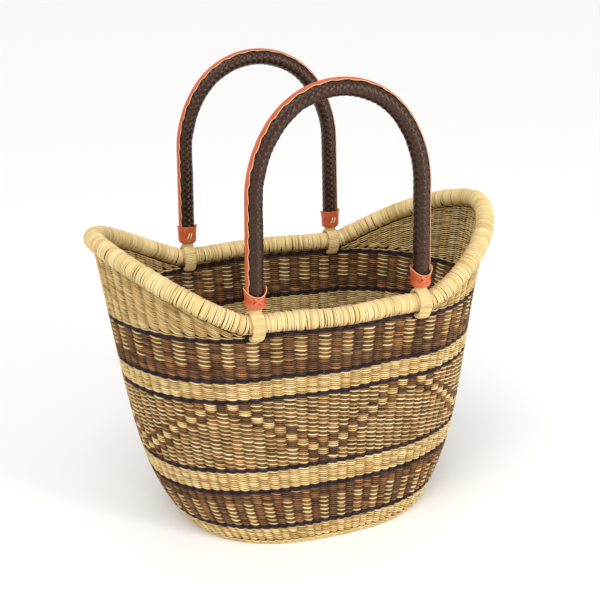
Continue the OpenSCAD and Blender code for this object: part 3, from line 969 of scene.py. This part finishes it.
class Handle:
    """Builds the pieces of one handle. back is True for the one on the back rim."""

    def __init__(self, back):
        self.name = "back" if back else "front"
        self.body = self.name + "_handle"
        self.mirror = back
        self.place = np.array([0, PIVOT_Y if back else -PIVOT_Y, RIM_LOW_Z])

    def finish(self, builder, name, material, slot, *replaces):
        """Moves what was built onto the rim. A mirrored mesh has its faces turned round."""
        for v in builder.verts:
            if self.mirror:
                v[:, 1] *= -1
            v += self.place
        if self.mirror:
            builder.faces = [face[::-1] for face in builder.faces]
        nodes = [f"{self.name}_{node}" for node in replaces]
        builder.piece(f"{self.name}_{name}", material, self.body, slot, nodes)

    def sleeve(self):
        """Leather plaited from strips that cross over and under each other."""
        p, normal, run = arch(COLLAR_Z + 4 * MM, 0.85 * MM)
        angle = np.arange(SLEEVE_SIDES) * 2 * np.pi / SLEEVE_SIDES
        turn = PLAIT_STRIPS * angle[None, :] / (2 * np.pi)
        u, v = turn + run[:, None] / PLAIT_PITCH, turn - run[:, None] / PLAIT_PITCH
        over = (np.floor(u) + np.floor(v)) % 2 < 1
        cross = np.where(over, u % 1, v % 1)
        length = np.where(over, v % 1, u % 1)
        height = (1 - np.abs(2 * cross - 1) ** 3) * (0.5 + 0.5 * np.sin(np.pi * length))
        places = np.arange(0, 1, PLAIT_LUMP_STEP)
        lumps = np.interp(run, places, RANDOM.normal(0, PLAIT_LUMPS, len(places)))
        r = SLEEVE_R - PLAIT_RELIEF + PLAIT_RELIEF * height + lumps[:, None]
        builder = Builder()
        # Painted shade: the plait's tone is darker where its strips sink under each other, lighter on
        # their raised middles.
        builder.skin(around_arch(p, normal, angle[None, :], r), tone=0.2 + 0.4 * height, capped=True)
        self.finish(builder, "plaited_sleeve", BROWN_LEATHER, "brown_leather", "sleeve")

    def edging(self):
        """A strip along the outside of the arch, with cut points along both edges."""
        p, normal, run = arch(COLLAR_Z + COLLAR_H - 4 * MM, 1.2 * MM)
        phase = RANDOM.uniform(0, 1)
        points = {}
        for side in (-1, 1):
            saw = (run / TOOTH + phase + 0.5 * (side > 0)) % 1
            tooth = np.minimum(saw / TOOTH_RISE, (1 - saw) / (1 - TOOTH_RISE))
            points[side] = np.radians(EDGING_HALF + TOOTH_HALF * tooth)
        share = np.concatenate([np.linspace(-1, 1, EDGING_STEPS), np.linspace(1, -1, EDGING_STEPS)])
        half = np.where(share[None, :] < 0, points[-1][:, None], points[1][:, None])
        outer = np.arange(len(share)) < EDGING_STEPS
        r = np.where(outer, SLEEVE_R + 1.1 * MM - 0.45 * MM * share ** 4, SLEEVE_R - 0.1 * MM)
        r = np.broadcast_to(r[None, :], half.shape)
        rings = around_arch(p, normal, share[None, :] * half, r)[:, ::-1]
        # Painted shade: the strip is darker towards both its edges, where it curves down onto the sleeve,
        # than along its middle.
        tone = np.broadcast_to(0.35 + 0.3 * (1 - np.abs(share[::-1])), half.shape)
        builder = Builder()
        builder.skin(rings, tone=tone, capped=True)
        self.finish(builder, "edging_strip", ORANGE_LEATHER, "orange_leather", "edging")
        builder = Builder()
        for side in (-1, 1):
            line = around_arch(p, normal, side * points[side][:, None], SLEEVE_R + 0.55 * MM)[:, 0]
            builder.strand(line, normal, 0.42 * MM, 0.5 * MM, 5)
        self.finish(builder, "edging_cut_edge", CUT_EDGE, "orange_leather")

    def collar(self, side, label):
        """Leather wrapped around the sleeve's end, with a dip in the outer half of its top edge."""
        angle = np.arange(COLLAR_SIDES) * 2 * np.pi / COLLAR_SIDES
        cos, sin = np.cos(angle), np.sin(angle)
        outer = np.clip(-sin, 0, 1)
        top = COLLAR_H * (1 - COLLAR_DIP * outer ** 1.3)
        ripple = 0.25 * MM * np.sin(3 * angle + RANDOM.uniform(0, 6))
        ripple = ripple + RANDOM.normal(0, 0.06 * MM, COLLAR_SIDES)
        rings, tones = [], []
        for height, r in COLLAR_PROFILE:
            crease = 0.16 * MM * math.sin(height * 21) if 0.1 < height < 0.95 else 0
            radius = r * MM + ripple * (height > 0) + crease
            rings.append(leg_points(side, radius * cos, radius * sin, COLLAR_Z + top * height))
            tones.append(0.5 + 0.2 * math.sin(height * 9) + RANDOM.normal(0, 0.08, COLLAR_SIDES))
        builder = Builder()
        builder.skin(np.array(rings), tone=np.array(tones).clip(0, 1))
        self.finish(builder, f"{label}_leather_collar", ORANGE_LEATHER, "orange_leather",
                    f"{label}_collar")
        builder = Builder()
        lip = COLLAR_LIP_R + ripple
        line = leg_points(side, lip * cos, lip * sin, COLLAR_Z + top)
        outer_half = np.arange(COLLAR_SIDES // 2 - 1, COLLAR_SIDES + 2) % COLLAR_SIDES
        up = np.broadcast_to(UP, (len(outer_half), 3))
        builder.strand(line[outer_half], up, 0.4 * MM, 0.55 * MM, 5)
        self.finish(builder, f"{label}_collar_cut_edge", CUT_EDGE, "orange_leather")

    def knot(self, side, label):
        """Laces crossed on the outer face, and two straw stitches on the inner one."""
        t = np.linspace(-1, 1, 13)
        builder = Builder()
        for lean in (-1, 1):
            over = 1.25 if lean > 0 else 0.75
            y = -(10.3 + 0.9 * np.cos(t * 1.4) * over) * MM
            p = leg_points(side, 4.6 * MM * t, y, TIE_Z + lean * 3.4 * MM * t)
            builder.strand(p, np.broadcast_to([0.0, -1.0, 0.0], p.shape), 0.65 * MM,
                           (1.5 - 0.4 * t ** 2) * MM, 8, tone=0.62)
        self.finish(builder, f"{label}_lace_knot", ORANGE_LEATHER, "orange_leather", f"{label}_tie")
        builder = Builder()
        y = (9.7 + 0.9 * np.cos(t * 1.3)) * MM
        for shift in (-1.4, 1.4):
            p = leg_points(side, shift * MM + 1.1 * MM * t, y, TIE_Z + 3.1 * MM * t)
            builder.strand(p, np.broadcast_to([0.0, 1.0, 0.0], p.shape), 0.5 * MM, 0.75 * MM, 6, tone=0.8)
        self.finish(builder, f"{label}_stitch", WRAP, "wrapping_straw")

    def ring(self, side, builder):
        """Straw wound along a ring around the rim, thicker at the ring's bottom."""
        u = np.arange(LOOP_TURNS * LOOP_PER_TURN) / LOOP_PER_TURN
        phi, theta = 2 * np.pi * u, 2 * np.pi * u / LOOP_TURNS
        drop = np.clip(-np.cos(theta), 0, 1) ** 2
        spoke = np.stack([0 * u, np.sin(theta), np.cos(theta)], -1)
        centre_r = (12.1 + 1.15 * drop) * MM
        thick = (LOOP_HALF_T + 1.1 * drop) * MM
        cos, sin = np.cos(phi), np.sin(phi)
        flat = np.sign(cos) * np.abs(cos) ** 0.6 * LOOP_HALF_W * MM
        bulge = np.sign(sin) * np.abs(sin) ** 0.8 * thick
        p = spoke * (centre_r + bulge)[:, None]
        p[:, 0] = side * FOOT_X + flat
        level = np.stack([cos / LOOP_HALF_W, 0 * u, 0 * u], -1)
        normal = unit(spoke * (sin / LOOP_HALF_T)[:, None] + level)
        tone = (0.62 + RANDOM.normal(0, 0.14, LOOP_TURNS)[np.floor(u).astype(int)]).clip(0, 1)
        builder.strand(p, normal, STRAW_HALF_OUT, STRAW_HALF_ALONG, 6, True, tone)

    def neck(self, side, builder):
        """Straw wound up the leg's foot from the ring into the collar, and the core inside it."""
        u = np.arange(NECK_TURNS * LOOP_PER_TURN + 1) / LOOP_PER_TURN
        phi = 2 * np.pi * u
        x, y = 5.75 * MM * np.cos(phi), 5.5 * MM * np.sin(phi)
        p = leg_points(side, x, y, NECK_Z + u * NECK_PITCH)
        normal = unit(np.stack([np.cos(phi), np.sin(phi), 0 * phi], -1))
        builder.strand(p, normal, STRAW_HALF_OUT, STRAW_HALF_ALONG, 6, tone=0.6)
        core = np.stack([np.full(6, side * FOOT_X), np.zeros(6), np.linspace(9.9, 21, 6) * MM], -1)
        builder.strand(core, np.broadcast_to([1.0, 0.0, 0.0], core.shape), 5.4 * MM, 5.2 * MM, 20)

    def loop(self, side, label):
        builder = Builder()
        self.ring(side, builder)
        self.neck(side, builder)
        self.finish(builder, f"{label}_lashing", WRAP, "wrapping_straw", f"{label}_loop")

    def build(self):
        self.sleeve()
        self.edging()
        for side, label in ((-1, "left"), (1, "right")):
            self.collar(side, label)
            self.knot(side, label)
            self.loop(side, label)


for back in (False, True):
    Handle(back).build()

# The CAD nodes that stay visible. The rim's core is given the dark painted shade material, so that the
# slits between the winding's turns look dark.
for node, material in (("stakes", STAKE), ("rim_core", PAINTED_SHADE), ("front_handle_core", STAKE),
                       ("back_handle_core", STAKE)):
    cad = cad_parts[node]
    cad.data.materials.clear()
    cad.data.materials.append(material)


# ---- Camera, light and floor ----

FLOOR = 150
MIDDLE = Vector((0, 0, 0.2))
WORLD_LIGHT = 0.66
SENSOR_W = 36
LENS = 68.5
CAMERA_PLACE = (-0.387, -1.049, 0.606)
CAMERA_YAW = math.radians(20.4)
CAMERA_PITCH = math.radians(19.1)
CAMERA_ROLL = math.radians(0.7)


def lamp(name, kind, place, power, colour, **values):
    """A light that points at the middle of the basket."""
    data = bpy.data.lights.new(name, kind)
    data.energy = power
    data.color = colour
    for key, value in values.items():
        setattr(data, key, value)
    obj = bpy.data.objects.new(name, data)
    obj.location = place
    obj.rotation_euler = (MIDDLE - Vector(place)).to_track_quat("-Z", "Y").to_euler()
    bpy.context.scene.collection.objects.link(obj)


def studio():
    lamp("sky", "SUN", (-1.0, -1.2, 2.6), 1.5, (1, 0.99, 0.97), angle=math.radians(50))
    lamp("left", "AREA", (-1.5, -1.5, 1.2), 5, (1, 0.98, 0.95), shape="DISK", size=1.4)
    lamp("right", "AREA", (0.95, -1.55, 0.8), 16, (1, 0.99, 0.98), shape="RECTANGLE",
         size=0.35, size_y=1.3)
    world = bpy.data.worlds.new("studio")
    world.use_nodes = True
    background = world.node_tree.nodes["Background"]
    background.inputs["Color"].default_value = (1, 1, 1, 1)
    background.inputs["Strength"].default_value = WORLD_LIGHT
    bpy.context.scene.world = world
    bpy.context.scene.view_settings.view_transform = "Standard"


def floor():
    n = Nodes("pale_floor")
    speckle = n.noise(6, detail=2)
    n.link(n.ramp(speckle, [(0.3, (0.90, 0.90, 0.895)), (0.7, (0.93, 0.93, 0.925))]),
           n.shader.inputs["Base Color"])
    n.shader.inputs["Roughness"].default_value = 0.8
    mesh = bpy.data.meshes.new("floor")
    corners = [(-FLOOR, -FLOOR, 0), (FLOOR, -FLOOR, 0), (FLOOR, FLOOR, 0), (-FLOOR, FLOOR, 0)]
    mesh.from_pydata(corners, [], [(0, 1, 2, 3)])
    mesh.materials.append(n.material)
    obj = bpy.data.objects.new("floor", mesh)
    bpy.context.scene.collection.objects.link(obj)


def camera():
    data = bpy.data.cameras.new("camera")
    data.sensor_width = SENSOR_W
    data.lens = LENS
    cam = bpy.data.objects.new("camera", data)
    cam.location = CAMERA_PLACE
    level = math.cos(CAMERA_PITCH)
    forward = Vector((math.sin(CAMERA_YAW) * level, math.cos(CAMERA_YAW) * level,
                      -math.sin(CAMERA_PITCH)))
    cam.rotation_euler = forward.to_track_quat("-Z", "Y").to_matrix().to_euler()
    cam.rotation_euler.rotate_axis("Z", -CAMERA_ROLL)
    bpy.context.scene.collection.objects.link(cam)
    bpy.context.scene.camera = cam


studio()
floor()
camera()
